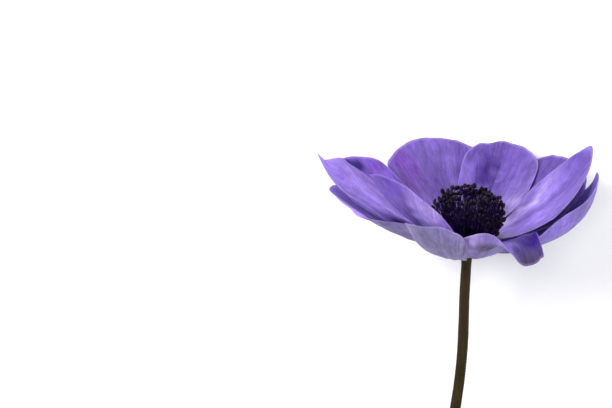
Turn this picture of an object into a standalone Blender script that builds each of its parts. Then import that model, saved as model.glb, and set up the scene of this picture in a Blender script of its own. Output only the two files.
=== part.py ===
"""Anemone flower, freshly picked and lying on its side: twelve tepals in two whorls, a ring of
stamens, the pistil cone in the middle, and a bare stalk that widens into the receptacle.

The flower is modelled upright, in millimetres, with its axis on +Z and the level where the tepals
meet the receptacle at Z = 0. Everything hangs from one empty, which lays the flower on its side,
sets it down on Z = 0 and scales it to metres. Bearings are degrees round the axis, from +X.
"""

import math
from dataclasses import dataclass

import bmesh
import bpy
from mathutils import Matrix, Vector
from mathutils.bvhtree import BVHTree

MM = 0.001

# How the flower lies: its axis rises this much above the horizontal, towards +Y, and it is rolled
# about that axis until two far tepals and the cut end of the stalk touch the table.
AXIS_RISE = 21.01
ROLL = 2.72

# Tepals: a sheet of even thickness that thins towards its margin, on a grid of rows and columns.
BASE_RADIUS = 5.4
THICKNESS = 0.45
EDGE_THICKNESS = 0.26
CLEARANCE = 1.0
RUFFLE = 0.56
# Where a tepal's low_side_rise gives way to its rise, from side to side (-1 is the side of lower bearing).
LOW_SIDE = (-0.75, -0.1)
ALONG, ACROSS = 11, 12

# Receptacle, as heights and radii from its top down to the thin top of the stalk.
RECEPTACLE = (
    (4.2, 3.6),
    (3.6, 4.2),
    (1.6, 4.8),
    (-2.2, 4.9),
    (-3.4, 4.0),
    (-4.6, 2.7),
    (-6.0, 1.9),
    (-8.0, 1.62),
)
# Bends of the stalk: distance below the receptacle, lean to the left, and lift towards the horizontal.
STALK_BENDS = (
    (0, 2, 0),
    (8, 2, 1),
    (16, 0, 2),
    (28, 2, 4),
    (44, 7, 6),
    (60, 8, 8),
    (90, 7, 10),
    (122, 3, 11),
)
STALK_END_RADIUS = 1.9
STALK_STEPS = 34
STALK_SIDES = 14

# Pistil cone
PISTIL_RADIUS = 4.9
PISTIL_FOOT = 4.6
PISTIL_HEIGHT = 6.6
PISTIL_KNOB = 0.045
PISTIL_FROM, PISTIL_TO = -8, 76
PISTIL_SIDES, PISTIL_RINGS = 18, 7

# Stamens: series from the outermost in, as (how many, foot height, anther distance, anther height).
STAMEN_SERIES = ((18, 2.3, 10.9, 11.4), (14, 3.0, 9.3, 13.2), (12, 3.9, 7.4, 14.8))
STAMEN_FOOT_RADIUS = 5.35
FILAMENT_RADIUS = 0.23
ANTHER_RADIUS = 0.62
ANTHER_LENGTH = 2.3
STAMEN_SIDES = 5

# Materials: colour and roughness
TEPAL_LOOK = ((0.24, 0.16, 0.62), 0.62)
STALK_LOOK = ((0.045, 0.034, 0.018), 0.55)
PISTIL_LOOK = ((0.012, 0.010, 0.030), 0.7)
STAMEN_LOOK = ((0.013, 0.010, 0.038), 0.6)


@dataclass
class Tepal:
    """One tepal. Lengths in mm, angles in degrees; rise is the midline's slope at its start, middle and end.

    spread, cup and shoulder (the opening angle, the curvature across, and the side's share of the
    length) each have a value for the side of lower bearing and one for the side of higher bearing.
    low_side_rise gives the side of lower bearing a midline of its own, where it cups while the rest hangs.
    """

    name: str
    bearing: float
    length: float
    spread: tuple
    rise: tuple
    cup: tuple
    height: float
    shoulder: tuple = (0.6, 0.6)
    point: float = 0.0
    low_side_rise: tuple = ()


TEPALS = (
    Tepal("tepal_outer_near_left", 244.5, 38.5, (30, 20), (-9, 38, 66), (0.055, 0.030), -1.6,
          shoulder=(0.6, 0.86)),
    Tepal("tepal_outer_right", 350, 54, (34, 32), (6, 30, 96), (0.040, 0.012), -1.6),
    Tepal("tepal_outer_far_right", 36, 49, (30, 32), (2, 30, 44), (0.012, 0.012), -1.6),
    Tepal("tepal_outer_far_left", 128, 45, (32, 32), (-2, 20, 30), (0.012, 0.012), -1.6),
    Tepal("tepal_outer_left", 190, 49.5, (30, 19), (10, 31, 38), (0.012, 0.020), -1.6),
    Tepal("tepal_outer_near_right", 302, 42.5, (45, 11), (-27, 44, -100), (0.01, 0.01), -1.2,
          shoulder=(0.76, 0.76), low_side_rise=(-12, 38, 60)),
    Tepal("tepal_inner_far_left", 104, 49, (31, 31), (8, 28, 40), (0.014, 0.014), 0.4),
    Tepal("tepal_inner_far_right", 69, 49, (24, 23), (6, 25.5, 37), (0.014, 0.014), 0.6),
    Tepal("tepal_inner_right", 14, 52.5, (24, 24), (9, 39, 69), (0.02, 0.02), 0.4, point=0.7),
    Tepal("tepal_inner_back_left", 161, 49, (28, 24), (10, 32, 46), (0.02, 0.02), 0.4),
    Tepal("tepal_inner_left", 176, 58, (22, 24), (12, 30, 66), (0.012, 0.050), 0.9, point=0.5),
    Tepal("tepal_inner_near_left", 213.5, 47, (30, 34.5), (22, 47, 60), (0.02, 0.030), 0.7, point=0.3),
)


def smooth(t):
    t = min(1.0, max(0.0, t))
    return t * t * (3 - 2 * t)


def midline(tepal, rise, steps=80):
    """Points (distance from the axis, height) and slopes along a line out through the tepal."""
    first, middle, last = (math.radians(a) for a in rise)
    step = (tepal.length - BASE_RADIUS) / steps
    r, z = BASE_RADIUS, tepal.height
    line = []
    for i in range(steps + 1):
        t = i / steps
        slope = (1 - t) * (1 - 2 * t) * first + 4 * t * (1 - t) * middle + t * (2 * t - 1) * last
        line.append((r, z, slope))
        r += step * math.cos(slope)
        z += step * math.sin(slope)
    return line


def on_midline(line, t):
    """Distance from the axis, height and slope at a share t of the midline's length."""
    steps = len(line) - 1
    k = min(steps - 1, int(t * steps))
    share = t * steps - k
    return [a + (b - a) * share for a, b in zip(line[k], line[k + 1])]


def sheet(tepal):
    """The tepal's mid-surface: rows from base to margin, each from the lower bearing to the higher."""
    line = midline(tepal, tepal.rise)
    rows = []
    for i in range(ALONG + 1):
        u = (i / ALONG) ** 0.9
        row = []
        for j in range(ACROSS + 1):
            v = 2 * j / ACROSS - 1
            round_top = max(0.0, 1 - abs(v) ** 2.2) ** 0.5
            top = (1 - tepal.point) * round_top + tepal.point * (1 - abs(v))
            shoulder = tepal.shoulder[v > 0]
            reach = tepal.length * (shoulder + (1 - shoulder) * top)
            rho = BASE_RADIUS + (reach - BASE_RADIUS) * u
            outward = (rho - BASE_RADIUS) / (tepal.length - BASE_RADIUS)
            opening = 0.86 + 0.14 * math.sin(math.pi * outward**0.8)
            fan = math.radians(tepal.spread[v > 0]) * v * opening
            along, across = rho * math.cos(fan), rho * math.sin(fan)
            t = min(1.0, max(0.0, (along - BASE_RADIUS) / (tepal.length - BASE_RADIUS)))
            r, z, slope = on_midline(line, t)
            curl = tepal.cup[across > 0] * (0.3 + 0.7 * smooth(t / 0.4))
            side = math.sin(curl * across) / curl
            wave = math.sin(1.8 * math.pi * v) * min(1.0, tepal.spread[v > 0] / 28)
            lift = (1 - math.cos(curl * across)) / curl + RUFFLE * wave * u**4
            point = Vector((r - lift * math.sin(slope), side, z + lift * math.cos(slope)))
            if tepal.low_side_rise:
                share = smooth((v - LOW_SIDE[0]) / (LOW_SIDE[1] - LOW_SIDE[0]))
                slopes = [a + (b - a) * share for a, b in zip(tepal.low_side_rise, tepal.rise)]
                r, z, _ = on_midline(midline(tepal, slopes), min(1.0, outward))
                point = Vector((r * math.cos(fan), r * math.sin(fan), z))
            row.append(Matrix.Rotation(math.radians(tepal.bearing), 3, "Z") @ point)
        rows.append(row)
    return rows


def surface(rows):
    """A tree of the sheet's faces, to find the nearest point on it, and each face's row and column."""
    points = [p for row in rows for p in row]
    wide = len(rows[0])
    cells = [(i, j) for i in range(len(rows) - 1) for j in range(wide - 1)]
    faces = [(i * wide + j, (i + 1) * wide + j, (i + 1) * wide + j + 1, i * wide + j + 1) for i, j in cells]
    return BVHTree.FromPolygons(points, faces), cells


def gap_to(point, tree, reach):
    """The sheet's upward normal nearest to a point, and the point's distance above it and beside it."""
    near, normal, face, _ = tree.find_nearest(point, reach)
    if near is None:
        return None
    if normal.z < 0:
        normal = -normal
    away = point - near
    above = away.dot(normal)
    return normal, face, above, (away - above * normal).length


def pushed_off(point, tree):
    """The point, moved up to CLEARANCE off the sheet if it lies too close above it or just under it."""
    found = gap_to(point, tree, 8.0)
    if found is None:
        return point
    normal, _, above, beside = found
    room = CLEARANCE * smooth(1.6 - beside / 2.4)
    return point + normal * (room - above) if room > 0 and -6 < above < room else point


def lifted_off(rows, points):
    """Lifts the cells of a sheet that points of another one touch from below or poke through."""
    tree, cells = surface(rows)
    for point in points:
        found = gap_to(point, tree, 2.5)
        if found is None:
            continue
        normal, face, above, beside = found
        if beside < 0.6 and -CLEARANCE < above:
            i, j = cells[face]
            for row, column in ((i, j), (i + 1, j), (i + 1, j + 1), (i, j + 1)):
                rows[row][column] = rows[row][column] + normal * (above + CLEARANCE) * 0.5


def lay_over(rows, below, passes=6):
    """Moves a sheet's points off the sheets that lie under it, so that it drapes over their edges."""
    trees = [surface(other)[0] for other in below]
    for _ in range(passes):
        for row in rows:
            for j, point in enumerate(row):
                for tree in trees:
                    point = pushed_off(point, tree)
                row[j] = point
        for other in below:
            lifted_off(rows, [p for row in other for p in row])
        relax(rows)
    return rows


def relax(rows, share=0.25):
    """Evens out a sheet a little, leaving its margin and base where they are."""
    before = [[p.copy() for p in row] for row in rows]
    for i in range(1, len(rows) - 1):
        for j in range(1, len(rows[0]) - 1):
            mean = (before[i - 1][j] + before[i + 1][j] + before[i][j - 1] + before[i][j + 1]) / 4
            rows[i][j] = before[i][j].lerp(mean, share)


def halves(rows, i, j):
    """The two triangles of a cell, split along its shorter diagonal, as (row, column) corners."""
    a, b, c, d = (i, j), (i + 1, j), (i + 1, j + 1), (i, j + 1)
    short = (rows[i][j] - rows[i + 1][j + 1]).length < (rows[i][j + 1] - rows[i + 1][j]).length
    return ((a, b, c), (a, c, d)) if short else ((a, b, d), (b, c, d))


def normals(rows):
    """The sheet's normal at each of its points, towards the flower's inside."""
    high, wide = len(rows), len(rows[0])
    sums = [[Vector() for _ in range(wide)] for _ in range(high)]
    for i in range(high - 1):
        for j in range(wide - 1):
            for corners in halves(rows, i, j):
                p, q, r = (rows[row][column] for row, column in corners)
                for row, column in corners:
                    sums[row][column] += (q - p).cross(r - p)
    return [[total.normalized() for total in line] for line in sums]


def margin(high, wide):
    """The numbers of the grid's outer points, in order round the sheet."""
    start = list(range(wide))
    far_side = [i * wide + wide - 1 for i in range(1, high)]
    top = [(high - 1) * wide + j for j in range(wide - 2, -1, -1)]
    near_side = [i * wide for i in range(high - 2, 0, -1)]
    return start + far_side + top + near_side


def thickened(name, rows):
    """A closed solid: the sheet's inner and outer face, joined round the margin."""
    high, wide = len(rows), len(rows[0])
    facing = normals(rows)
    mesh = bmesh.new()
    inner, outer = [], []
    for i in range(high):
        for j in range(wide):
            v = 2 * j / (wide - 1) - 1
            edge = max(abs(v) ** 6, (i / (high - 1)) ** 8)
            half = (THICKNESS + (EDGE_THICKNESS - THICKNESS) * edge) / 2
            inner.append(mesh.verts.new(rows[i][j] + facing[i][j] * half))
            outer.append(mesh.verts.new(rows[i][j] - facing[i][j] * half))
    for i in range(high - 1):
        for j in range(wide - 1):
            for corners in halves(rows, i, j):
                numbers = [row * wide + column for row, column in corners]
                mesh.faces.new([inner[k] for k in numbers])
                mesh.faces.new([outer[k] for k in reversed(numbers)])
    rim = margin(high, wide)
    for a, b in zip(rim, rim[1:] + rim[:1]):
        mesh.faces.new((inner[a], inner[b], outer[b], outer[a]))
    return added(name, mesh, TEPAL_LOOK)


def lofted(mesh, rings):
    """Joins rings of vertices into a closed skin with flat ends."""
    for low, high in zip(rings, rings[1:]):
        for n in range(len(low)):
            m = (n + 1) % len(low)
            mesh.faces.new((low[n], low[m], high[m], high[n]))
    mesh.faces.new(rings[0][::-1])
    mesh.faces.new(rings[-1])


def tube(name, path, radii, sides, look):
    """A closed tube along a path, with one radius for each of its points."""
    mesh = bmesh.new()
    rings = []
    side = Vector((1, 0, 0))
    for k, (point, radius) in enumerate(zip(path, radii)):
        ahead = (path[min(k + 1, len(path) - 1)] - path[max(k - 1, 0)]).normalized()
        side = (side - side.dot(ahead) * ahead).normalized()
        across = ahead.cross(side)
        ring = []
        for n in range(sides):
            turn = math.tau * n / sides
            outward = math.cos(turn) * side + math.sin(turn) * across
            ring.append(mesh.verts.new(point + radius * outward))
        rings.append(ring)
    lofted(mesh, rings)
    return added(name, mesh, look)


def added(name, mesh, look):
    """Turns a closed bmesh into a smooth-shaded object of the scene, with a material of its own."""
    bmesh.ops.recalc_face_normals(mesh, faces=mesh.faces)
    for face in mesh.faces:
        face.smooth = len(face.verts) <= 4
    data = bpy.data.meshes.new(name)
    mesh.to_mesh(data)
    mesh.free()
    colour, roughness = look
    material = bpy.data.materials.new(name)
    material.use_nodes = True
    shader = material.node_tree.nodes["Principled BSDF"]
    shader.inputs["Base Color"].default_value = (*colour, 1)
    shader.inputs["Roughness"].default_value = roughness
    shader.inputs["Metallic"].default_value = 0.0
    data.materials.append(material)
    obj = bpy.data.objects.new(name, data)
    bpy.context.scene.collection.objects.link(obj)
    return obj


def make_tepals():
    below, made = [], []
    for tepal in TEPALS:
        rows = lay_over(sheet(tepal), below)
        below.append(rows)
        made.append(thickened(tepal.name, rows))
    return made


def bend(distance):
    """Lean and lift of the stalk at a distance below the receptacle, in radians."""
    for (near, *start), (far, *end) in zip(STALK_BENDS, STALK_BENDS[1:]):
        if distance <= far:
            share = (distance - near) / (far - near)
            return [math.radians(a + (b - a) * share) for a, b in zip(start, end)]
    raise ValueError("beyond the end of the stalk")


def make_stalk():
    """The receptacle and, below it, the stalk, down to its cut end."""
    path = [Vector((0, 0, z)) for z, _ in RECEPTACLE]
    radii = [r for _, r in RECEPTACLE]
    top_radius = radii[-1]
    step = STALK_BENDS[-1][0] / STALK_STEPS
    for k in range(STALK_STEPS):
        lean, lift = bend((k + 0.5) * step)
        heading = Vector((-math.sin(lean), -math.sin(lift), -1)).normalized()
        path.append(path[-1] + heading * step)
        radii.append(top_radius + (STALK_END_RADIUS - top_radius) * (k + 1) / STALK_STEPS)
    return tube("stalk", path, radii, STALK_SIDES, STALK_LOOK)


def make_pistil():
    """The cone of carpels: a dome with a flat foot, knobbly all over."""
    mesh = bmesh.new()
    rings = []
    lowest = math.sin(math.radians(PISTIL_FROM))
    for k in range(PISTIL_RINGS):
        angle = math.radians(PISTIL_FROM + (PISTIL_TO - PISTIL_FROM) * k / (PISTIL_RINGS - 1))
        ring = []
        for n in range(PISTIL_SIDES):
            knob = 1 + (PISTIL_KNOB if (n + k) % 2 else -PISTIL_KNOB) * (k > 0)
            turn = math.tau * n / PISTIL_SIDES
            radius = PISTIL_RADIUS * math.cos(angle) * knob
            height = PISTIL_FOOT + PISTIL_HEIGHT * (math.sin(angle) - lowest) * knob
            ring.append(mesh.verts.new((radius * math.cos(turn), radius * math.sin(turn), height)))
        rings.append(ring)
    lofted(mesh, rings)
    return added("pistil_cone", mesh, PISTIL_LOOK)


def make_stamen(name, foot, tip):
    """A filament from the receptacle that arches out to its anther."""
    out = Vector((foot.x, foot.y, 0)).normalized()
    middle = foot.lerp(tip, 0.5) + out * 0.9 - Vector((0, 0, 0.4))
    ahead = (tip - middle).normalized()
    anther = [tip + ahead * ANTHER_LENGTH * share for share in (-0.26, 0.0, 0.48, 0.74)]
    path = [foot, middle, *anther]
    radii = [FILAMENT_RADIUS] * 3 + [ANTHER_RADIUS * 0.93, ANTHER_RADIUS, ANTHER_RADIUS / 2]
    return tube(name, path, radii, STAMEN_SIDES, STAMEN_LOOK)


def make_stamens():
    made = []
    for series, (count, foot_height, reach, top) in enumerate(STAMEN_SERIES):
        for n in range(count):
            turn = math.tau * (n + 0.37 * series) / count
            out = Vector((math.cos(turn), math.sin(turn), 0))
            foot = out * STAMEN_FOOT_RADIUS + Vector((0, 0, foot_height))
            longer = 0.4 * math.sin(7.1 * n + 2.0 * series)
            higher = 0.7 * math.sin(4.1 * n + series)
            tip = out * (reach + longer) + Vector((0, 0, top + higher))
            made.append(make_stamen(f"stamen_{len(made) + 1:02d}", foot, tip))
    return made


def lay_down(flower, pieces):
    """Turns the flower onto its side, with its lowest point on Z = 0 and its middle on the Z axis."""
    tipped = Matrix.Rotation(math.radians(AXIS_RISE - 90), 4, "X")
    turned = Matrix.Rotation(math.radians(ROLL), 4, "Y") @ tipped
    points = [turned @ vertex.co for piece in pieces for vertex in piece.data.vertices]
    lows = [min(p[axis] for p in points) for axis in range(3)]
    highs = [max(p[axis] for p in points) for axis in range(3)]
    middle_foot = Vector(((lows[0] + highs[0]) / 2, (lows[1] + highs[1]) / 2, lows[2]))
    flower.matrix_world = Matrix.Scale(MM, 4) @ Matrix.Translation(-middle_foot) @ turned


def main():
    for obj in list(bpy.data.objects):
        bpy.data.objects.remove(obj)
    flower = bpy.data.objects.new("flower", None)
    bpy.context.scene.collection.objects.link(flower)
    pieces = [*make_tepals(), make_stalk(), make_pistil(), *make_stamens()]
    for piece in pieces:
        piece.parent = flower
    lay_down(flower, pieces)
    bpy.context.view_layer.update()


main()
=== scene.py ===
# %% [markdown]
# # A violet anemone, lying on a table
#
# A garden anemone has no separate petals and sepals. What looks like petals are tepals, here
# twelve of them in two whorls. They stand round a dark boss, the pistil cone, and a ring of
# blue-black stamens. This lesson dresses a plain solid model of the flower: every tepal, stamen
# and the stalk is already there as a rigid shape, and we give each its finished surface.

import math
import random

import bmesh
import bpy
import numpy as np
from mathutils import Matrix, Vector, noise
from mathutils.kdtree import KDTree


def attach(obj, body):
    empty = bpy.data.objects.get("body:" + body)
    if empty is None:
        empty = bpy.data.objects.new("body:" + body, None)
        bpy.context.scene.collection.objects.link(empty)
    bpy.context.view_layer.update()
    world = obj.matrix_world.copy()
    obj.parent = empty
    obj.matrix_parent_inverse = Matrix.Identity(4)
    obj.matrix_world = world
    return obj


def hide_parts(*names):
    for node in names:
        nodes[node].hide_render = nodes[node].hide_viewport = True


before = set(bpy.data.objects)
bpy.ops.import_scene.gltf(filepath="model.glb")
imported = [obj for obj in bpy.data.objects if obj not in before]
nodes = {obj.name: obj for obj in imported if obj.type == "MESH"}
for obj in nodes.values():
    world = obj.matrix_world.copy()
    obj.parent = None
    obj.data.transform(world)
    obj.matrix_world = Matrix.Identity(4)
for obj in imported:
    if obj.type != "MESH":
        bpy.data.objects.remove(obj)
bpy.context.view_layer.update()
print("nodes:", len(nodes))

# %% [markdown]
# ## The flower's own frame
#
# A flower is easier to think about standing up, in millimetres, with its axis on +Z and the level
# where the tepals start at zero. The table's frame is in metres, and the flower lies on its side in
# it. One matrix goes from the first to the second.

# %% The matrix from the flower's frame to the table's
MM = 0.001
AXIS_RISE = math.radians(21.01)
ROLL = math.radians(2.72)
FLOWER_AT = Vector((3.212, 45.882, 33.783)) * MM

turned = Matrix.Rotation(ROLL, 4, "Y") @ Matrix.Rotation(AXIS_RISE - math.pi / 2, 4, "X")
to_table = Matrix.Translation(FLOWER_AT) @ turned @ Matrix.Scale(MM, 4)
to_flower = to_table.inverted()


def rotate_and_move(points, matrix):
    """Applies a matrix to an array of points, one row each."""
    m = np.array(matrix)
    return points @ m[:3, :3].T + m[:3, 3]


# %% [markdown]
# ## The view, the table and the light
#
# The flower is seen from 21 degrees above the level of its tepals. As it lies on its side with its
# face tipped up by as much, that means the camera looks straight down on it, from a distance with
# a long lens, as for a plant portrait.

# %% Camera
VIEW_RISE = math.radians(21.0)
VIEW_DISTANCE = 750.0
PICTURE_WIDTH, PICTURE_HEIGHT = 612, 408
MM_ACROSS_PICTURE = 195.84
FLOWER_FROM_LEFT, FLOWER_FROM_TOP = 467 / PICTURE_WIDTH, 241 / PICTURE_HEIGHT

scene = bpy.context.scene
scene.view_settings.view_transform = "Standard"

toward_camera = Vector((0, -math.cos(VIEW_RISE), math.sin(VIEW_RISE)))
picture_up = Vector((0, math.sin(VIEW_RISE), math.cos(VIEW_RISE)))
picture_right = Vector((1, 0, 0))
height_mm = MM_ACROSS_PICTURE * PICTURE_HEIGHT / PICTURE_WIDTH
middle = picture_right * (0.5 - FLOWER_FROM_LEFT) * MM_ACROSS_PICTURE
middle += picture_up * (FLOWER_FROM_TOP - 0.5) * height_mm
eye = middle + toward_camera * VIEW_DISTANCE
axes = Matrix((picture_right, picture_up, toward_camera)).transposed()

lens = bpy.data.cameras.new("camera")
lens.sensor_width = 36.0
lens.lens = 36.0 * VIEW_DISTANCE / MM_ACROSS_PICTURE
camera = bpy.data.objects.new("camera", lens)
scene.collection.objects.link(camera)
camera.matrix_world = Matrix.Translation(to_table @ eye) @ (turned.to_3x3() @ axes).to_4x4()
scene.camera = camera
print("camera height over the table:", round(camera.location.z, 3))

# %% [markdown]
# Soft studio light comes from a wide panel beyond the flower's face and a weaker one from the other
# side, and the pale walls of the room do the rest.

# %% Lights
def add_panel(name, place, aim, size, power, colour):
    """An area light at a place, pointed at a second place; lengths in metres, power in watts."""
    light = bpy.data.lights.new(name, "AREA")
    light.shape = "RECTANGLE"
    light.size, light.size_y = size
    light.energy = power
    light.color = colour
    panel = bpy.data.objects.new(name, light)
    scene.collection.objects.link(panel)
    panel.location = place
    panel.rotation_euler = (Vector(aim) - Vector(place)).to_track_quat("-Z", "Y").to_euler()
    return panel


ON_FLOWER = (0.0, 0.03, 0.03)
add_panel("panel_face", (0.0, 1.0, 0.16), ON_FLOWER, (0.4, 0.4), 6.0, (1.0, 0.985, 0.96))
add_panel("panel_left", (-0.6, 0.35, 0.8), ON_FLOWER, (0.4, 0.4), 8.5, (1.0, 0.99, 0.98))
add_panel("panel_over", (0.05, 0.0, 1.05), ON_FLOWER, (0.5, 0.5), 6.0, (0.97, 0.98, 1.0))
add_panel("panel_right", (1.0, 0.0, 0.35), ON_FLOWER, (0.4, 0.4), 4.5, (0.97, 0.98, 1.0))

world = bpy.data.worlds.new("room")
scene.world = world
world.use_nodes = True
world.node_tree.nodes["Background"].inputs["Color"].default_value = (0.95, 0.96, 1.0, 1.0)
world.node_tree.nodes["Background"].inputs["Strength"].default_value = 0.14

# %% [markdown]
# ## Writing materials as sums
#
# A Blender material is a net of nodes. Wiring one by hand hides the idea, so a small class wraps a
# socket and lets us write the net as arithmetic: `0.4 + 0.2 * streaks` adds its own Math nodes.
# Colours are blended with Mix nodes instead, because a Math node would turn them grey.

# %% Sockets that can be added and multiplied
class Value:
    """An output socket of a node, which Python's operators join to new Math nodes."""

    def __init__(self, finish, socket):
        self.finish = finish
        self.socket = socket

    def math(self, operation, *others):
        sockets = {0: self, **dict(enumerate(others, 1))}
        return self.finish.node("ShaderNodeMath", {"operation": operation}, sockets)

    def __add__(self, other):
        return self.math("ADD", other)

    def __sub__(self, other):
        return self.math("SUBTRACT", other)

    def __rsub__(self, other):
        return self.finish.node("ShaderNodeMath", {"operation": "SUBTRACT"}, {0: other, 1: self})

    def __mul__(self, other):
        return self.math("MULTIPLY", other)

    __radd__ = __add__
    __rmul__ = __mul__

    def between(self, low, high):
        """0 below low and 1 above high, with a soft step from one to the other."""
        sockets = {"Value": self, "From Min": low, "From Max": high}
        return self.finish.node("ShaderNodeMapRange", {"interpolation_type": "SMOOTHSTEP"}, sockets)


class Finish:
    """A material with one Principled shader, built by method calls."""

    def __init__(self, name):
        self.material = bpy.data.materials.new(name)
        self.material.use_nodes = True
        self.tree = self.material.node_tree
        self.shader = self.tree.nodes["Principled BSDF"]

    def node(self, kind, settings=None, sockets=None, output=0):
        """Adds a node, sets its settings, joins or sets its sockets, and returns one of its outputs."""
        made = self.tree.nodes.new(kind)
        for name, setting in (settings or {}).items():
            setattr(made, name, setting)
        for name, value in (sockets or {}).items():
            self.give(made.inputs[name], value)
        return Value(self, made.outputs[output])

    def give(self, socket, value):
        if isinstance(value, Value):
            self.tree.links.new(value.socket, socket)
        else:
            socket.default_value = value

    def attribute(self, name):
        """The three numbers of a piece's own vector attribute."""
        stored = self.node("ShaderNodeAttribute", {"attribute_name": name}, output="Vector")
        apart = self.tree.nodes.new("ShaderNodeSeparateXYZ")
        self.tree.links.new(stored.socket, apart.inputs[0])
        return [Value(self, out) for out in apart.outputs]

    def vector(self, x, y, z):
        return self.node("ShaderNodeCombineXYZ", sockets={"X": x, "Y": y, "Z": z})

    def noise(self, vector, scale=1.0, detail=2.0, roughness=0.5):
        sockets = {"Vector": vector, "Scale": scale, "Detail": detail, "Roughness": roughness}
        return self.node("ShaderNodeTexNoise", sockets=sockets)

    def place(self):
        """Where a point of the piece is, in metres."""
        return self.node("ShaderNodeTexCoord", output="Object")

    def mix(self, first, second, share):
        """The first colour turned into the second by a share."""
        made = self.tree.nodes.new("ShaderNodeMix")
        made.data_type = "RGBA"
        colour_inputs = [socket for socket in made.inputs if socket.type == "RGBA"]
        self.give(made.inputs[0], share)
        self.give(colour_inputs[0], first if isinstance(first, Value) else (*first, 1.0))
        self.give(colour_inputs[1], second if isinstance(second, Value) else (*second, 1.0))
        return Value(self, [socket for socket in made.outputs if socket.type == "RGBA"][0])

    def scaled(self, colour, factor):
        """A colour made lighter or darker by a factor."""
        sockets = {"Vector": colour, "Scale": factor}
        return self.node("ShaderNodeVectorMath", {"operation": "SCALE"}, sockets)

    def shade(self, **sockets):
        """Joins or sets the shader's sockets: base_color= goes to Base Color, and so on."""
        for name, value in sockets.items():
            self.give(self.shader.inputs[name.replace("_", " ").title()], value)

    def bump(self, height, strength, distance):
        sockets = {"Height": height, "Strength": strength, "Distance": distance}
        self.give(self.shader.inputs["Normal"], self.node("ShaderNodeBump", sockets=sockets))


# %% [markdown]
# ## Small helpers for the meshes
#
# Operators work on what is selected, so each one starts by selecting just the piece in hand. The
# last step of a piece is always the same: it rides on the flower's one body, hides the plain
# shapes it stands for, and takes its finish.

# %% Mesh helpers
SUBDIVIDE_ROUNDS = 5
SAME_POINT_M = 1e-6
PAIR_WITHIN = math.radians(70)


def select_only(piece):
    bpy.ops.object.select_all(action="DESELECT")
    piece.select_set(True)
    bpy.context.view_layer.objects.active = piece


def subdivide_through(piece, levels):
    """Subdivision Surface applied so that the rounded surface passes through the plain shape's points.

    The modifier alone draws a shape in from its corners. So each corner is first pushed out by as
    much as its place on the rounded surface falls short, a few times over.
    """
    select_only(piece)
    modifier = piece.modifiers.new("rounding", "SUBSURF")
    modifier.levels = modifier.render_levels = 1
    aims = points_of(piece.data)
    for _ in range(SUBDIVIDE_ROUNDS):
        rounded = piece.evaluated_get(bpy.context.evaluated_depsgraph_get()).to_mesh()
        short = aims - points_of(rounded)[: len(aims)]
        set_points(piece.data, points_of(piece.data) + short)
    modifier.levels = modifier.render_levels = levels
    bpy.ops.object.modifier_apply(modifier=modifier.name)


def points_of(mesh):
    found = np.empty(len(mesh.vertices) * 3)
    mesh.vertices.foreach_get("co", found)
    return found.reshape(-1, 3)


def normals_of(mesh):
    found = np.empty(len(mesh.vertices) * 3)
    mesh.vertices.foreach_get("normal", found)
    return found.reshape(-1, 3)


def set_points(mesh, points):
    mesh.vertices.foreach_set("co", np.asarray(points, dtype=np.float64).ravel())
    mesh.update()


def store(mesh, name, columns):
    """Keeps three numbers for each vertex as a vector attribute."""
    attribute = mesh.attributes.new(name, "FLOAT_VECTOR", "POINT")
    attribute.data.foreach_set("vector", np.column_stack(columns).astype(np.float32).ravel())


def finish_piece(piece, finish, slot, *replaced):
    piece.data.materials.clear()
    piece.data.materials.append(finish.material)
    for polygon in piece.data.polygons:
        polygon.use_smooth = True
    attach(piece, "root")
    if replaced:
        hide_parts(*replaced)


def copy_of_node(node, name):
    """A new piece with the node's shape: its loose triangles merged, and paired into quads."""
    piece = bpy.data.objects.new(name, nodes[node].data.copy())
    scene.collection.objects.link(piece)
    select_only(piece)
    bpy.ops.object.mode_set(mode="EDIT")
    bpy.ops.mesh.select_all(action="SELECT")
    bpy.ops.mesh.remove_doubles(threshold=SAME_POINT_M)
    bpy.ops.mesh.tris_convert_to_quads(face_threshold=PAIR_WITHIN, shape_threshold=math.pi)
    bpy.ops.object.mode_set(mode="OBJECT")
    if "sharp_face" in piece.data.attributes:
        piece.data.attributes.remove(piece.data.attributes["sharp_face"])
    return piece


# %% [markdown]
# ## Tepals
#
# A tepal is a fan. Its veins start side by side at the base and spread towards the margin, so every
# mark on it follows two numbers: how far out a point is, and at what angle of the fan. We can work
# both out for any point of a tepal from the line that its middle follows from base to tip.

# %% The twelve tepals: bearing and length, slopes of the midline in degrees, height of the base
TEPALS = {
    "tepal_outer_near_left": (244.5, 38.5, (-9, 38, 66), -1.6),
    "tepal_outer_right": (350, 54, (6, 30, 96), -1.6),
    "tepal_outer_far_right": (36, 49, (2, 30, 44), -1.6),
    "tepal_outer_far_left": (128, 45, (-2, 20, 30), -1.6),
    "tepal_outer_left": (190, 49.5, (10, 31, 38), -1.6),
    "tepal_outer_near_right": (302, 42.5, (-27, 44, -100), -1.2),
    "tepal_inner_far_left": (104, 49, (8, 28, 40), 0.4),
    "tepal_inner_far_right": (69, 49, (6, 25.5, 37), 0.6),
    "tepal_inner_right": (14, 52.5, (9, 39, 69), 0.4),
    "tepal_inner_back_left": (161, 49, (10, 32, 46), 0.4),
    "tepal_inner_left": (176, 58, (12, 30, 66), 0.9),
    "tepal_inner_near_left": (213.5, 47, (22, 47, 60), 0.7),
}
BASE_RADIUS = 5.4
MIDLINE_STEPS = 160


def midline(length, slopes, height):
    """Points along a tepal's middle, as distance from the axis and height, with the slope at each."""
    first, second, last = (math.radians(slope) for slope in slopes)
    step = (length - BASE_RADIUS) / MIDLINE_STEPS
    t = np.arange(MIDLINE_STEPS + 1) / MIDLINE_STEPS
    slope = (1 - t) * (1 - 2 * t) * first + 4 * t * (1 - t) * second + t * (2 * t - 1) * last
    out = BASE_RADIUS + np.concatenate([[0], np.cumsum(np.cos(slope[:-1]) * step)])
    up = height + np.concatenate([[0], np.cumsum(np.sin(slope[:-1]) * step)])
    return out, up, slope


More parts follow.
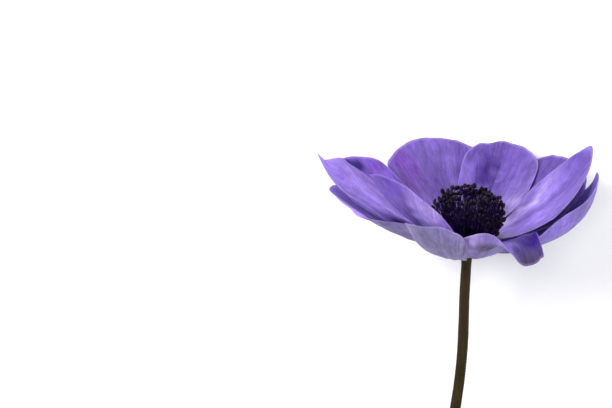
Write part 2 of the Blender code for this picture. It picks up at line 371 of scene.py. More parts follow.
def fan_of(points, bearing, length, slopes, height):
    """For points in the flower's frame: distance along the fan, angle in it, and the sheet's normal."""
    turn = np.array(Matrix.Rotation(-math.radians(bearing), 3, "Z"))
    local = points @ turn.T
    out, up, slope = midline(length, slopes, height)
    rolls_over = slopes[2] < 0
    flat = np.hypot(local[:, 0], local[:, 1]) if rolls_over else local[:, 0]
    gaps = (flat[:, None] - out) ** 2 + (local[:, None, 2] - up) ** 2
    nearest = gaps.argmin(1)
    along = BASE_RADIUS + (length - BASE_RADIUS) * nearest / MIDLINE_STEPS
    facing = np.column_stack([-np.sin(slope[nearest]), np.zeros(len(local)), np.cos(slope[nearest])])
    if rolls_over:
        return along, np.arctan2(local[:, 1], local[:, 0]), facing @ turn
    lift = np.sqrt(gaps[np.arange(len(local)), nearest])
    across = np.sign(local[:, 1]) * np.hypot(local[:, 1], lift)
    return np.hypot(along, across), np.arctan2(across, along), facing @ turn


# %% [markdown]
# ### From a plain sheet to a tepal
#
# The plain tepal is a closed sheet with a few large cells. Subdivision rounds it, and then its
# points move a little along the sheet's normal: shallow pleats that follow the fan, fading towards
# the base, and a loose ruffle that grows towards the margin. The ruffle is one field through space
# that all tepals share, so neighbours that lie on each other ripple together. It is no promise
# that they stay apart: the rims of the two near outer ones still cross at one spot.

# %% Build one tepal
PLEATS_PER_RADIAN = 11.0
PLEAT_DEPTH = 0.16
FINE_PLEATS_PER_RADIAN = 34.0
FINE_PLEAT_DEPTH = 0.035
RUFFLE_DEPTH = 0.75
RUFFLE_SIZE = 11.0
NICK_DEPTH = 0.55
MARGIN_TURN = math.radians(50)
TEPAL_LEVELS = 3
ON_RIM = 0.9
GROWN_AT = 0.35
RIM_SHARE, RIM_FADE = 0.35, 6
SEED_STEP = 7.0
NICKS_PER_RADIAN, FINE_NICKS_PER_RADIAN = 9, 23
NICK_REACH = 3
MM_PER_CM = 10


def noise_along(columns):
    """Blender's smooth noise at each row of three numbers."""
    return np.array([noise.noise(Vector(row)) for row in np.column_stack(columns)])


def distance_to_rim(points, is_rim):
    """How far each point is from the sheet's margin, in mm."""
    rim = points[is_rim > ON_RIM]
    tree = KDTree(len(rim))
    for number, point in enumerate(rim):
        tree.insert(point, number)
    tree.balance()
    return np.array([tree.find(point)[2] for point in points])


def mark_sides(piece):
    """Stores for each vertex of the plain sheet whether it is on the inner face and on the margin.

    The two faces of a sheet meet at its margin, where it turns sharply. So a face is all that can be
    reached from one of its cells without crossing a sharp edge, and the inner face looks upwards.
    """
    mesh = piece.data
    grid = bmesh.new()
    grid.from_mesh(mesh)
    grid.faces.ensure_lookup_table()
    region = [-1] * len(grid.faces)
    regions = []
    for start in grid.faces:
        if region[start.index] >= 0:
            continue
        region[start.index] = len(regions)
        waiting, found = [start], []
        while waiting:
            face = waiting.pop()
            found.append(face)
            for edge in face.edges:
                for other in edge.link_faces:
                    if region[other.index] < 0 and other.normal.angle(face.normal, 0.0) < MARGIN_TURN:
                        region[other.index] = len(regions)
                        waiting.append(other)
        regions.append(found)
    regions.sort(key=lambda faces: -sum(face.calc_area() for face in faces))
    up = turned.to_3x3() @ Vector((0, 0, 1))
    looks_up = [sum(face.calc_area() * face.normal.dot(up) for face in faces) for faces in regions[:2]]
    inner_faces = regions[0] if looks_up[0] > looks_up[1] else regions[1]
    inner = np.zeros(len(grid.verts))
    for faces in regions[:2]:
        for face in faces:
            for vertex in face.verts:
                inner[vertex.index] = float(faces is inner_faces)
    sharp = np.zeros(len(grid.verts))
    for edge in grid.edges:
        if len(edge.link_faces) == 2 and edge.calc_face_angle() > MARGIN_TURN:
            for vertex in edge.verts:
                sharp[vertex.index] = 1.0
    print(piece.name, "cells in each face:", [len(faces) for faces in regions[:3]])
    grid.free()
    store(mesh, "sides", (inner, sharp, sharp * 0))


def make_tepal(number, node, tepal):
    piece = copy_of_node(node, node.replace("tepal_", "petal_"))
    mark_sides(piece)
    subdivide_through(piece, levels=TEPAL_LEVELS)
    mesh = piece.data
    points = rotate_and_move(points_of(mesh), to_flower)
    sides = np.empty(len(points) * 3, dtype=np.float32)
    mesh.attributes["sides"].data.foreach_get("vector", sides)
    sides = sides.reshape(-1, 3)
    along, angle, facing = fan_of(points, *tepal)
    own_normals = normals_of(mesh) @ np.array(turned.to_3x3().inverted()).T
    upward = np.sign(sides[:, 0] - 0.5)[:, None] * own_normals
    lean = sides[:, 1].clip(0, 1)[:, None]
    sheet_normal = upward * (1 - lean) + facing * lean
    sheet_normal /= np.linalg.norm(sheet_normal, axis=1)[:, None]

    from_rim = distance_to_rim(points, sides[:, 1])
    outward = (along - BASE_RADIUS) / (tepal[1] - BASE_RADIUS)
    seed = np.full(len(points), SEED_STEP * number)
    grow = np.clip(outward / GROWN_AT, 0, 1) * np.clip(RIM_SHARE + from_rim / RIM_FADE, 0, 1)
    pleats = noise_along((angle * PLEATS_PER_RADIAN, along * 0.025, seed))
    fine = noise_along((angle * FINE_PLEATS_PER_RADIAN, along * 0.03, seed + 3))
    ruffle = noise_along(points.T / RUFFLE_SIZE) * np.clip(outward, 0, 1) ** 2
    shift = PLEAT_DEPTH * pleats * 2 * grow + FINE_PLEAT_DEPTH * fine * 2 * grow
    shift = shift + RUFFLE_DEPTH * ruffle
    nicks = noise_along((angle * NICKS_PER_RADIAN, seed, seed * 0))
    nicks = nicks + 0.5 * noise_along((angle * FINE_NICKS_PER_RADIAN, seed, seed * 0))
    nicks = nicks * NICK_DEPTH * np.exp(-from_rim / NICK_REACH) * np.clip(outward * 2 - 1, 0, 1)
    rays = points.copy()
    rays[:, 2] = 0
    rays /= np.linalg.norm(rays, axis=1)[:, None]
    flat_rays = rays - (rays * sheet_normal).sum(1)[:, None] * sheet_normal
    moved = points + sheet_normal * shift[:, None] + flat_rays * nicks[:, None]
    set_points(mesh, above_table(rotate_and_move(moved, to_table)))

    mesh.attributes.remove(mesh.attributes["sides"])
    inner = sides[:, 0].clip(0, 1)
    store(mesh, "fan", (angle, along / MM_PER_CM, seed))
    store(mesh, "sheet", (inner, from_rim / MM_PER_CM, outward))
    # The colour stored here holds painted shade and light as well as the tepal's own colour.
    store(mesh, "tint_and_painted_light", painted(node, points, angle, outward, inner).T)
    return piece


SWAY_DEGREES, SWAY_SIZE = 5, 4
DRIFT, DRIFT_SIZE, DRIFT_SEED = 0.07, 5, 9


def above_table(points):
    """Presses flat whatever would sink into the table."""
    points[:, 2] = np.maximum(points[:, 2], 0)
    return points


def painted(node, points, angle, outward, inner):
    """The tepal's colour at each point, before veins: two tints, partly painted light and shade, with
    soft patches of painted shade and light on them.
    """
    inside, outside = (np.array(tint_and_painted_light) for tint_and_painted_light in TINTS_WITH_PAINTED_LIGHT[node])
    inner = inner[:, None]
    colour = inside * inner + outside * (1 - inner)
    degrees = np.degrees(angle) + SWAY_DEGREES * noise_along(points.T / SWAY_SIZE)
    outward = outward + DRIFT * noise_along(points.T / DRIFT_SIZE + DRIFT_SEED)
    # Each patch blends painted shade or light into the face that it names.
    for face, at_angle, at_outward, half_angle, half_outward, name, strength in PAINTED_SHADE_AND_LIGHT_PATCHES.get(node, ()):
        far = ((degrees - at_angle) / half_angle) ** 2 + ((outward - at_outward) / half_outward) ** 2
        on_face = inner if face == "inner" else 1 - inner
        share = np.minimum(strength * np.exp(-far), 1)[:, None] * on_face
        colour = colour * (1 - share) + np.array(PAINTED_SHADE_AND_LIGHT_COLOURS[name]) * share
    return colour


# %% [markdown]
# ### What colours a tepal
#
# No two tepals have the same violet, and the inner face of each is cleaner in colour than its outer
# face, which is covered in fine silky hairs. The colours also hold painted shade and light: darker
# inside a fold and in hollows, lighter where the light falls on a tepal. So each tepal has a colour
# for each face, made lighter or darker to match how it is lit, and a few soft patches, most of them
# painted shade and light and some partly a paler or plum tone of its own, placed by the angle in
# the fan and the share of the way out.

# %% Tints of the inner and outer faces, partly painted light and shade, and the patches of painted shade and light on them
# A patch: its face, angle in degrees, share of the way out, half widths of both, colour, strength.
# Each tepal's tints are its own violet made lighter or darker by how the light falls on it: painted
# light and shade.
TINTS_WITH_PAINTED_LIGHT = {
    "tepal_outer_near_left": ((0.159, 0.102, 0.424), (0.249, 0.215, 0.424)),
    "tepal_outer_right": ((0.127, 0.079, 0.364), (0.244, 0.186, 0.505)),
    "tepal_outer_far_right": ((0.111, 0.073, 0.273), (0.201, 0.169, 0.384)),
    "tepal_outer_far_left": ((0.138, 0.090, 0.364), (0.223, 0.192, 0.404)),
    "tepal_outer_left": ((0.403, 0.271, 0.828), (0.244, 0.203, 0.424)),
    "tepal_outer_near_right": ((0.058, 0.036, 0.172), (0.265, 0.215, 0.505)),
    "tepal_inner_far_left": ((0.140, 0.088, 0.336), (0.223, 0.192, 0.404)),
    "tepal_inner_far_right": ((0.138, 0.086, 0.343), (0.223, 0.192, 0.404)),
    "tepal_inner_right": ((0.148, 0.096, 0.374), (0.223, 0.181, 0.424)),
    "tepal_inner_back_left": ((0.159, 0.090, 0.424), (0.223, 0.181, 0.424)),
    "tepal_inner_left": ((0.223, 0.141, 0.505), (0.276, 0.226, 0.505)),
    "tepal_inner_near_left": ((0.148, 0.090, 0.404), (0.233, 0.145, 0.515)),
}
# Colours of the patches: mostly painted shade and light.
PAINTED_SHADE_AND_LIGHT_COLOURS = {
    # Painted shade inside folds and hollows.
    "painted_fold_shade": (0.020, 0.003, 0.125),
    # Painted shade, softer.
    "painted_soft_shade": (0.075, 0.032, 0.230),
    # A plum tone, partly painted shade.
    "plum": (0.120, 0.038, 0.270),
    # Dark grey, partly the greyer outer face and partly painted shade.
    "grey": (0.062, 0.047, 0.115),
    # Saturated violet, partly a painted glow of light shining through the sheet.
    "violet": (0.095, 0.035, 0.400),
    # Pale, partly the tepal's own pale streaks and partly painted light.
    "pale": (0.560, 0.440, 0.880),
    # Painted highlight.
    "painted_highlight": (0.300, 0.190, 0.720),
}
# Where each tepal has its patches of painted shade and light.
PAINTED_SHADE_AND_LIGHT_PATCHES = {
    "tepal_outer_near_left": (
        ("outer", -6, 0.85, 12, 0.25, "grey", 0.3),
        ("outer", 10, 0.35, 20, 0.15, "pale", 0.25),
    ),
    "tepal_outer_right": (
        ("outer", -33, 0.15, 25, 0.22, "grey", 0.9),
        ("inner", -33, 0.15, 25, 0.22, "grey", 0.9),
        ("outer", -24, 0.80, 9, 0.30, "painted_highlight", 0.5),
        ("outer", -12, 0.92, 9, 0.14, "grey", 0.45),
        ("inner", -10, 0.70, 20, 0.30, "painted_soft_shade", 0.4),
    ),
    "tepal_outer_near_right": (
        ("inner", 4, 0.77, 14, 0.10, "painted_fold_shade", 1.2),
        ("inner", -2, 1.02, 24, 0.10, "grey", 1.2),
        ("inner", -14, 0.86, 5, 0.10, "painted_highlight", 0.4),
        ("outer", -36, 0.70, 14, 0.30, "pale", 0.9),
        ("outer", -18, 0.90, 12, 0.12, "painted_highlight", 0.7),
        ("outer", -18, 0.68, 16, 0.13, "grey", 1.0),
        ("outer", -20, 0.45, 25, 0.14, "grey", 0.4),
    ),
    "tepal_inner_far_left": (
        ("inner", -13, 0.75, 5, 0.30, "painted_soft_shade", 0.6),
        ("inner", 15, 0.78, 6, 0.24, "plum", 0.75),
        ("inner", 3, 0.52, 5, 0.20, "painted_soft_shade", 0.55),
        ("inner", -6, 0.62, 8, 0.10, "painted_soft_shade", 0.45),
        ("inner", -12, 0.46, 3, 0.12, "pale", 0.45),
    ),
    "tepal_inner_far_right": (
        ("inner", 8, 0.72, 6, 0.22, "painted_fold_shade", 0.9),
        ("inner", 2, 0.88, 9, 0.12, "painted_soft_shade", 0.45),
        ("inner", -6, 0.62, 4, 0.20, "painted_soft_shade", 0.35),
        ("inner", -20, 0.42, 9, 0.16, "pale", 0.35),
    ),
    "tepal_outer_far_right": (
        ("inner", 12, 0.70, 6, 0.30, "painted_soft_shade", 0.5),
        ("inner", -20, 0.90, 6, 0.12, "violet", 0.8),
        ("inner", -30, 0.14, 12, 0.10, "painted_highlight", 0.9),
        ("outer", -30, 0.14, 12, 0.10, "painted_highlight", 0.9),
    ),
    "tepal_inner_right": (
        ("inner", 13, 0.42, 5, 0.24, "pale", 0.50),
        ("inner", 6, 0.55, 3, 0.20, "painted_highlight", 0.50),
        ("inner", 17, 0.18, 5, 0.08, "pale", 1.0),
        ("inner", 2, 0.16, 14, 0.10, "painted_highlight", 0.6),
        ("inner", -10, 0.35, 7, 0.20, "painted_highlight", 0.6),
        ("inner", 2, 0.85, 12, 0.14, "painted_soft_shade", 0.4),
    ),
    "tepal_inner_back_left": (
        ("inner", -3, 0.92, 6, 0.14, "painted_fold_shade", 1.2),
        ("inner", -18, 0.85, 5, 0.10, "plum", 0.6),
    ),
    "tepal_inner_left": (
        ("inner", 9, 0.32, 7, 0.11, "painted_fold_shade", 1.2),
        ("inner", 5, 0.52, 9, 0.13, "painted_highlight", 0.6),
        ("inner", -3, 0.70, 9, 0.30, "painted_highlight", 0.4),
        ("inner", -16, 0.60, 4, 0.20, "plum", 0.4),
    ),
    "tepal_inner_near_left": (
        ("outer", 3, 0.95, 6, 0.14, "violet", 0.7),
        ("outer", 22, 0.58, 10, 0.28, "pale", 1.0),
        ("outer", 5, 0.60, 4, 0.25, "painted_soft_shade", 0.6),
    ),
}


# %% [markdown]
# Over the tints come the veins: broad streaks, veins and fine threads, all of them noise that is
# stretched along the fan, and a mottle that breaks them up. The base of the inner face is whitish
# between the veins, and the margin is a thin pale line.

# %% The tepals' finish
VEIN_DARKNESS, THREAD_LIGHTNESS = 0.52, 1.6
WHITISH, MARGIN_COLOUR = (0.620, 0.530, 0.850), (0.430, 0.340, 0.560)
TEPAL_SPECULAR = 0.12


def tepal_finish():
    finish = Finish("tepal")
    angle, along, seed = finish.attribute("fan")
    inner, from_rim, outward = finish.attribute("sheet")
    # The stored colour, which holds painted shade and light as well as the tepal's own colour.
    tint_and_painted_light = finish.node("ShaderNodeAttribute", {"attribute_name": "tint_and_painted_light"}, output="Color")

    broad = finish.noise(finish.vector(angle * 9, along * 0.45, seed), detail=2)
    veins = finish.noise(finish.vector(angle * 42, along * 0.5, seed), detail=3, roughness=0.6)
    threads = finish.noise(finish.vector(angle * 110, along * 0.9, seed), detail=2)
    mottle = finish.noise(finish.vector(angle * 24, along * 2.6, seed + 20), detail=4, roughness=0.65)

    colour = finish.scaled(tint_and_painted_light, 0.84 + 0.32 * broad.between(0.32, 0.68))
    colour = finish.scaled(colour, 0.84 + 0.32 * mottle.between(0.35, 0.65))
    colour = finish.mix(colour, finish.scaled(tint_and_painted_light, VEIN_DARKNESS), veins.between(0.55, 0.67) * 0.50)
    thread = finish.scaled(tint_and_painted_light, THREAD_LIGHTNESS)
    colour = finish.mix(colour, thread, threads.between(0.52, 0.72) * 0.45)
    whitish = (1 - outward.between(0.02, 0.26)) * veins.between(0.30, 0.60) * inner
    colour = finish.mix(colour, WHITISH, whitish * 0.8)
    edge = 1 - from_rim.between(0.005, 0.030)
    colour = finish.mix(colour, MARGIN_COLOUR, edge * 0.2)
    finish.shade(
        base_color=colour,
        roughness=0.62 + 0.20 * veins,
        sheen_weight=0.04,
        subsurface_weight=0.35,
        subsurface_scale=0.0012,
    )
    finish.give(finish.shader.inputs["Subsurface Radius"], (1.0, 0.6, 1.6))
    finish.give(finish.shader.inputs["Specular IOR Level"], TEPAL_SPECULAR)
    finish.bump(veins * 0.6 + threads * 0.4, 0.6, 0.00025)
    return finish


# %% Make the tepals
TEPAL = tepal_finish()
for number, (node, tepal) in enumerate(TEPALS.items()):
    petal = make_tepal(number, node, tepal)
    finish_piece(petal, TEPAL, "tepals", node)
print("tepals:", len(TEPALS))

# %% [markdown]
# ## Stamens
#
# A stamen is a thin filament with an anther on its end, and an anther is two long pollen sacs side
# by side. We model one, by pulling a hexagon out ring by ring, and pinch its anther along the
# middle. Every other stamen is a copy of it, bent in code along its own path, because an anemone
# has well over a hundred and no two lean alike.

# %% Model one stamen along +Z: the filament from 0 to 1, the anther from 1 to 2
STAMEN_SIDES = 6
FILAMENT_RINGS = ((0.0, 0.27), (0.35, 0.23), (0.7, 0.19), (1.0, 0.17))
ANTHER_RINGS = ((1.03, 0.38), (1.15, 0.60), (1.45, 0.68), (1.75, 0.60), (1.93, 0.38), (2.0, 0.14))
PINCH = 0.42
PINCH_FROM, PINCH_TO, PINCH_HALF_WIDTH = 1.1, 1.98, 0.05


def pull_out(rings):
    """Extrudes the selected face through rings of (height, radius), of which it is the first."""
    for (height, radius), (next_height, next_radius) in zip(rings, rings[1:]):
        upwards = {"value": (0, 0, next_height - height)}
        bpy.ops.mesh.extrude_region_move(TRANSFORM_OT_translate=upwards)
        bpy.ops.transform.resize(value=(next_radius / radius, next_radius / radius, 1))


def select_vertices(piece, chosen):
    """In edit mode, selects the vertices that a test of their place picks, and nothing else."""
    bpy.ops.mesh.select_mode(type="VERT")
    bpy.ops.mesh.select_all(action="DESELECT")
    grid = bmesh.from_edit_mesh(piece.data)
    for vertex in grid.verts:
        vertex.select = bool(chosen(vertex.co))
    grid.select_flush_mode()
    bmesh.update_edit_mesh(piece.data)


def start_mesh(name, sides, radius):
    """A flat face with so many sides, in edit mode, ready to be pulled out upwards."""
    bpy.ops.object.select_all(action="DESELECT")
    bpy.ops.mesh.primitive_circle_add(vertices=sides, radius=radius, fill_type="NGON")
    piece = bpy.context.object
    piece.name = name
    bpy.ops.object.mode_set(mode="EDIT")
    bpy.ops.mesh.select_all(action="SELECT")
    return piece


def close_mesh(piece):
    """Leaves edit mode with doubles merged and every face looking outwards."""
    bpy.ops.mesh.select_all(action="SELECT")
    bpy.ops.mesh.remove_doubles(threshold=1e-5)
    bpy.ops.mesh.normals_make_consistent(inside=False)
    bpy.ops.object.mode_set(mode="OBJECT")


def model_stamen():
    piece = start_mesh("stamen_model", STAMEN_SIDES, 1.0)
    bpy.ops.transform.resize(value=(FILAMENT_RINGS[0][1],) * 3)
    pull_out(FILAMENT_RINGS + ANTHER_RINGS)
    select_vertices(piece, lambda co: PINCH_FROM < co.z < PINCH_TO and abs(co.x) < PINCH_HALF_WIDTH)
    bpy.ops.transform.resize(value=(1, PINCH, 1))
    close_mesh(piece)
    return piece


stamen_model = model_stamen()
print("faces in a stamen:", len(stamen_model.data.polygons))

# %% [markdown]
# ### Where the stamens stand
#
# The plain model has forty-four stamens in three series, and the finished ones follow the same
# paths. Between them stand almost two hundred more. Most of those try a few places and keep the one
# with the most room round its anther, which fills the ring without making it even. Twenty hang out
# low on one side, as the oldest stamens do.

# %% Paths of the stamens
STAMEN_SERIES = ((18, 2.3, 10.9, 11.4), (14, 3.0, 9.3, 13.2), (12, 3.9, 7.4, 14.8))
STAMEN_FOOT_RADIUS = 5.35
MORE_STAMENS = 176
LOW_STAMENS = 20
ANTHER_LENGTH = 1.6
TRIES = 5
MORE_REACH, MORE_FOOT = (5.2, 11.6), (0.6, 3.8)
LOW_TURN, LOW_FOOT, LOW_REACH, LOW_TOP = (-62, 6), (0.8, 2.2), (8.6, 11.4), (4.6, 9.0)
ANTHER_LEAN = 0.55
STAMEN_SIZES = (0.75, 1.15)
MORE_PIECES = 4
draw = random.Random(11)


def stamen_path(turn, foot_height, reach, top):
    out = Vector((math.cos(turn), math.sin(turn), 0))
    foot = out * STAMEN_FOOT_RADIUS + Vector((0, 0, foot_height))
    return foot, out * reach + Vector((0, 0, top))


series_paths = []
for series, (count, foot_height, reach, top) in enumerate(STAMEN_SERIES):
    series_paths.append([
        stamen_path(
            math.tau * (n + 0.37 * series) / count,
            foot_height,
            reach + 0.4 * math.sin(7.1 * n + 2.0 * series),
            top + 0.7 * math.sin(4.1 * n + series),
        )
        for n in range(count)
    ])

more_paths = []
taken = [tip for paths in series_paths for _, tip in paths]
for n in range(MORE_STAMENS):
    tries = []
    for _ in range(TRIES):
        reach = draw.uniform(*MORE_REACH)
        top = 16.0 - 0.062 * max(0, reach - 5.0) ** 2.15 + draw.uniform(-2.0, 0.4)
        top -= max(0, reach - 8.6) * draw.uniform(0, 1.4)
        path = stamen_path(draw.uniform(0, math.tau), draw.uniform(*MORE_FOOT), reach, top)
        tries.append((min((path[1] - other).length for other in taken), path))
    best = max(tries, key=lambda trial: trial[0])
    more_paths.append(best[1])
    taken.append(best[1][1])
for n in range(LOW_STAMENS):
    turn = math.radians(draw.uniform(*LOW_TURN))
    foot_height, reach, top = (draw.uniform(*span) for span in (LOW_FOOT, LOW_REACH, LOW_TOP))
    more_paths.append(stamen_path(turn, foot_height, reach, top))
print("stamens:", sum(map(len, series_paths)) + len(more_paths))


def bent_stamen(foot, tip):
    """A copy of the model, as points along its own path in the flower's frame."""
    out = Vector((foot.x, foot.y, 0)).normalized()
    middle = foot.lerp(tip, 0.5) + out * 0.9 - Vector((0, 0, 0.4))
    ahead = (tip - middle).normalized()
    ahead = (ahead + Vector([draw.uniform(-ANTHER_LEAN, ANTHER_LEAN) for _ in range(3)])).normalized()
    size = draw.uniform(*STAMEN_SIZES)
    twist = draw.uniform(0, math.pi)
    aside = ahead.cross(Vector((0, 0, 1)).cross(out)).normalized()
    across = ahead.cross(aside).normalized()
    first = aside * math.cos(twist) + across * math.sin(twist)
    second = across * math.cos(twist) - aside * math.sin(twist)
    local = points_of(stamen_model.data)
    s = np.clip(local[:, 2], 0, 1)[:, None]
    beyond = np.clip(local[:, 2] - 1, 0, 1)[:, None] - 0.25 * (local[:, 2:3] >= 1)
    start, bow, end = (np.array(point) for point in (foot, middle * 2 - (foot + tip) / 2, tip))
    line = (1 - s) ** 2 * start + 2 * s * (1 - s) * bow + s ** 2 * end
    line += beyond * ANTHER_LENGTH * size * np.array(ahead)
    wide = np.where(local[:, 2:3] > 1.01, size, 1.0)
    return line + wide * (local[:, 0:1] * np.array(first) + local[:, 1:2] * np.array(second))


def join_stamens(name, paths):
    """One piece with a stamen on each path."""
    model = stamen_model.data
    faces = [tuple(polygon.vertices) for polygon in model.polygons]
    points, all_faces, marks = [], [], []
    for number, (foot, tip) in enumerate(paths):
        offset = number * len(model.vertices)
        points.append(bent_stamen(foot, tip))
        all_faces += [tuple(offset + corner for corner in face) for face in faces]
        heights = points_of(model)[:, 2]
        marks.append(np.column_stack([heights, np.full(len(heights), draw.random()), heights * 0]))
    mesh = bpy.data.meshes.new(name)
    mesh.from_pydata(rotate_and_move(np.vstack(points), to_table).tolist(), [], all_faces)
    store(mesh, "stamen", np.vstack(marks).T)
    piece = bpy.data.objects.new(name, mesh)
    scene.collection.objects.link(piece)
    return piece


# %% [markdown]
# ### What colours a stamen
#
# The pollen sacs are blue-black and slightly rough, dusted with pollen of the same colour. The
# filaments are a dark violet, darkest at the foot and a little lighter towards the anther.

# %% The stamens' finish
def stamen_finish():
    finish = Finish("stamen")
    height, own, _ = finish.attribute("stamen")
    dust = finish.noise(finish.place(), scale=2600.0, detail=2)
    filament = finish.mix((0.006, 0.004, 0.018), (0.032, 0.018, 0.115), height.between(0.35, 0.90))
    anther = finish.mix((0.003, 0.001, 0.007), (0.018, 0.009, 0.032), dust.between(0.45, 0.75))
    anther = finish.mix(anther, (0.010, 0.004, 0.016), own)
    colour = finish.mix(filament, anther, height.between(1.0, 1.1))
    finish.shade(base_color=colour, roughness=0.34 + 0.3 * dust)
    finish.give(finish.shader.inputs["Specular IOR Level"], 0.14)
    finish.bump(dust, 0.6, 0.0001)
    return finish


STAMEN = stamen_finish()
numbers = iter(range(1, sum(map(len, series_paths)) + 1))
for name, paths in zip(("stamens_low", "stamens_middle", "stamens_high"), series_paths):
    series_nodes = [f"stamen_{next(numbers):02d}" for _ in paths]
    finish_piece(join_stamens(name, paths), STAMEN, "stamens", *series_nodes)
for part in range(MORE_PIECES):
    between = join_stamens(f"stamens_between_{part + 1}", more_paths[part::MORE_PIECES])
    finish_piece(between, STAMEN, "stamens")
bpy.data.objects.remove(stamen_model)

# %% [markdown]
# ## The pistil cone
#
# The boss in the middle is a dome packed with carpels, each with a short dark style that curves
# outwards. Their rows follow the golden angle, as the seeds of a sunflower do. The dome is modelled
# from a sphere, and one carpel is pulled out of a pentagon and then copied over it.

# %% The dome and its carpels
PISTIL_RADIUS, PISTIL_FOOT, PISTIL_HEIGHT = 4.55, 4.15, 7.0
CARPELS = 190
CARPEL_SIDES = 5
CARPEL_SIZES = (0.85, 1.15)
CARPEL_LIFT, CARPEL_SUNK, CARPEL_BOW = 0.35, 0.15, 0.22
CARPEL_RINGS = (
    (0.0, 0.34), (0.25, 0.40), (0.5, 0.30), (0.7, 0.14), (1.0, 0.10), (1.15, 0.13), (1.25, 0.05),
)


def model_carpel():
    piece = start_mesh("carpel_model", CARPEL_SIDES, CARPEL_RINGS[0][1])
    pull_out(CARPEL_RINGS)
    close_mesh(piece)
    return piece


def make_pistil():
    bpy.ops.object.select_all(action="DESELECT")
    bpy.ops.mesh.primitive_uv_sphere_add(segments=28, ring_count=16, radius=1.0)
    dome = bpy.context.object
    dome.name = "pistil"
    bpy.ops.object.mode_set(mode="EDIT")
    bpy.ops.mesh.select_all(action="SELECT")
    bpy.ops.transform.resize(value=(PISTIL_RADIUS, PISTIL_RADIUS, PISTIL_HEIGHT))
    bpy.ops.mesh.bisect(plane_co=(0, 0, 0.01), plane_no=(0, 0, 1), use_fill=True, clear_inner=True)
    bpy.ops.mesh.select_all(action="SELECT")
    bpy.ops.transform.translate(value=(0, 0, PISTIL_FOOT))
    close_mesh(dome)

    carpel = model_carpel()
    local = points_of(carpel.data)
    faces = [tuple(polygon.vertices) for polygon in carpel.data.polygons]
    points, all_faces, marks = [], [], []
    for n in range(CARPELS):
        rise = 1 - (n + 0.5) / CARPELS
        turn = n * math.pi * (3 - math.sqrt(5))
        flat = math.sqrt(1 - rise * rise)
        out = Vector((math.cos(turn) * flat, math.sin(turn) * flat, rise))
        stretched = (out.x * PISTIL_RADIUS, out.y * PISTIL_RADIUS, PISTIL_FOOT + out.z * PISTIL_HEIGHT)
        place = Vector(stretched)
        up = Vector((out.x / PISTIL_RADIUS, out.y / PISTIL_RADIUS, out.z / PISTIL_HEIGHT)).normalized()
        up = (up + Vector((0, 0, CARPEL_LIFT))).normalized()
        side = up.cross(Vector((math.sin(turn), -math.cos(turn), 0))).normalized()
        other = up.cross(side)
        size = draw.uniform(*CARPEL_SIZES)
        bow = CARPEL_BOW * local[:, 2:3] ** 2 * np.array((out.x, out.y, 0))
        shape = local[:, 0:1] * np.array(side) + local[:, 1:2] * np.array(other)
        shape = shape + local[:, 2:3] * np.array(up) + bow
        points.append(np.array(place - up * CARPEL_SUNK) + size * shape)
        all_faces += [tuple(n * len(local) + corner for corner in face) for face in faces]
        marks.append(local[:, 2])
    mesh = bpy.data.meshes.new("carpels")
    mesh.from_pydata(np.vstack(points).tolist(), [], all_faces)
    heights = np.concatenate(marks)
    store(mesh, "carpel", (heights, heights * 0, heights * 0))
    carpels = bpy.data.objects.new("carpels", mesh)
    scene.collection.objects.link(carpels)
    store(dome.data, "carpel", [np.zeros(len(dome.data.vertices))] * 3)
    bpy.data.objects.remove(carpel)
    select_only(dome)
    carpels.select_set(True)
    bpy.ops.object.join()
    set_points(dome.data, rotate_and_move(points_of(dome.data), to_table))
    return dome


def pistil_finish():
    finish = Finish("pistil")
    height, _, _ = finish.attribute("carpel")
    speck = finish.noise(finish.place(), scale=1800.0, detail=2)
    colour = finish.mix((0.004, 0.002, 0.012), (0.014, 0.008, 0.036), height.between(0.1, 0.5))
    colour = finish.mix(colour, (0.004, 0.002, 0.008), height.between(0.8, 1.2))
    colour = finish.mix(colour, (0.022, 0.012, 0.040), speck.between(0.55, 0.8) * 0.4)
    finish.shade(base_color=colour, roughness=0.4 + 0.3 * speck)
    finish.give(finish.shader.inputs["Specular IOR Level"], 0.3)
    finish.bump(speck, 0.5, 0.0001)
    return finish


pistil = make_pistil()
finish_piece(pistil, pistil_finish(), "pistil", "pistil_cone")
print("faces in the pistil:", len(pistil.data.polygons))

# %% [markdown]
# ## The stalk
#
# The stalk is firm and slightly ribbed, dark brown under the flower and olive further down, with a
# slanting cut at its end. Its plain shape is right, so we round it by subdivision and raise the
# ribs by moving points along their normals.

# %% The stalk
STALK_RIBS = 9
RIB_HEIGHT = 0.05
LUMP_HEIGHT = 0.10
RIBS_START, RIBS_FADE = -4, 4
STALK_LEVELS = 2


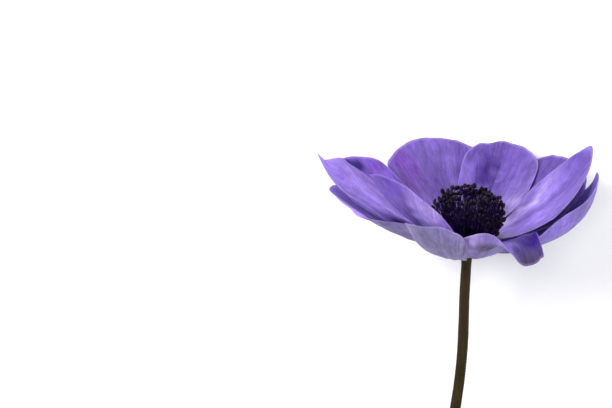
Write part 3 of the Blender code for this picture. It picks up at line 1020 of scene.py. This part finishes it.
def make_stalk():
    piece = copy_of_node("stalk", "stem")
    subdivide_through(piece, levels=STALK_LEVELS)
    mesh = piece.data
    points = rotate_and_move(points_of(mesh), to_flower)
    own_normals = normals_of(mesh) @ np.array(turned.to_3x3().inverted()).T
    turn = np.arctan2(own_normals[:, 1], own_normals[:, 0])
    ribs = np.cos(turn * STALK_RIBS) * RIB_HEIGHT
    round_stalk = (np.cos(turn) * 1.5, np.sin(turn) * 1.5, points[:, 2] * 0.12)
    lumps = noise_along(round_stalk) * LUMP_HEIGHT
    below = np.clip((RIBS_START - points[:, 2]) / RIBS_FADE, 0, 1)
    moved = points + own_normals * ((ribs + lumps) * below)[:, None]
    set_points(mesh, above_table(rotate_and_move(moved, to_table)))
    store(mesh, "stalk", (-points[:, 2] / MM_PER_CM, turn, turn * 0))
    return piece


def stalk_finish():
    finish = Finish("stalk")
    down, turn, _ = finish.attribute("stalk")
    swing = finish.node("ShaderNodeMath", {"operation": "SINE"}, {0: turn}) * 3
    streak = finish.noise(finish.vector(swing, down * 0.6, turn * 0), scale=2.0, detail=3)
    mottle = finish.noise(finish.place(), scale=700.0, detail=3)
    colour = finish.mix((0.033, 0.021, 0.009), (0.018, 0.013, 0.002), down.between(1.5, 9.0))
    colour = finish.mix(colour, (0.062, 0.044, 0.016), streak.between(0.45, 0.70) * 0.5)
    colour = finish.mix(colour, (0.014, 0.009, 0.005), mottle.between(0.50, 0.75) * 0.5)
    colour = finish.mix(colour, (0.012, 0.006, 0.030), 1 - down.between(-0.15, 0.25))
    finish.shade(base_color=colour, roughness=0.45 + 0.2 * mottle)
    finish.give(finish.shader.inputs["Specular IOR Level"], 0.08)
    finish.bump(mottle * 0.5 + streak * 0.5, 0.4, 0.0002)
    return finish


stem = make_stalk()
finish_piece(stem, stalk_finish(), "stalk", "stalk")
print("stalk faces:", len(stem.data.polygons))

# %% [markdown]
# ## The table
#
# A plain pale surface, far larger than the view, so that its edge is never seen. Like the sheet of
# a light table it glows a little, which keeps the flower's own shadow soft.

# %% The table
TABLE_WIDTH_M, TABLE_DROP_M = 6.0, 0.0002

bpy.ops.object.select_all(action="DESELECT")
bpy.ops.mesh.primitive_plane_add(size=TABLE_WIDTH_M, location=(0, 0, -TABLE_DROP_M))
table = bpy.context.object
table.name = "table"
paper = Finish("pale_table")
grain = paper.noise(paper.place(), scale=900.0, detail=2)
white = paper.mix((0.90, 0.90, 0.905), (0.93, 0.93, 0.93), grain)
paper.shade(base_color=white, roughness=0.8, emission_color=white, emission_strength=0.08)
table.data.materials.append(paper.material)
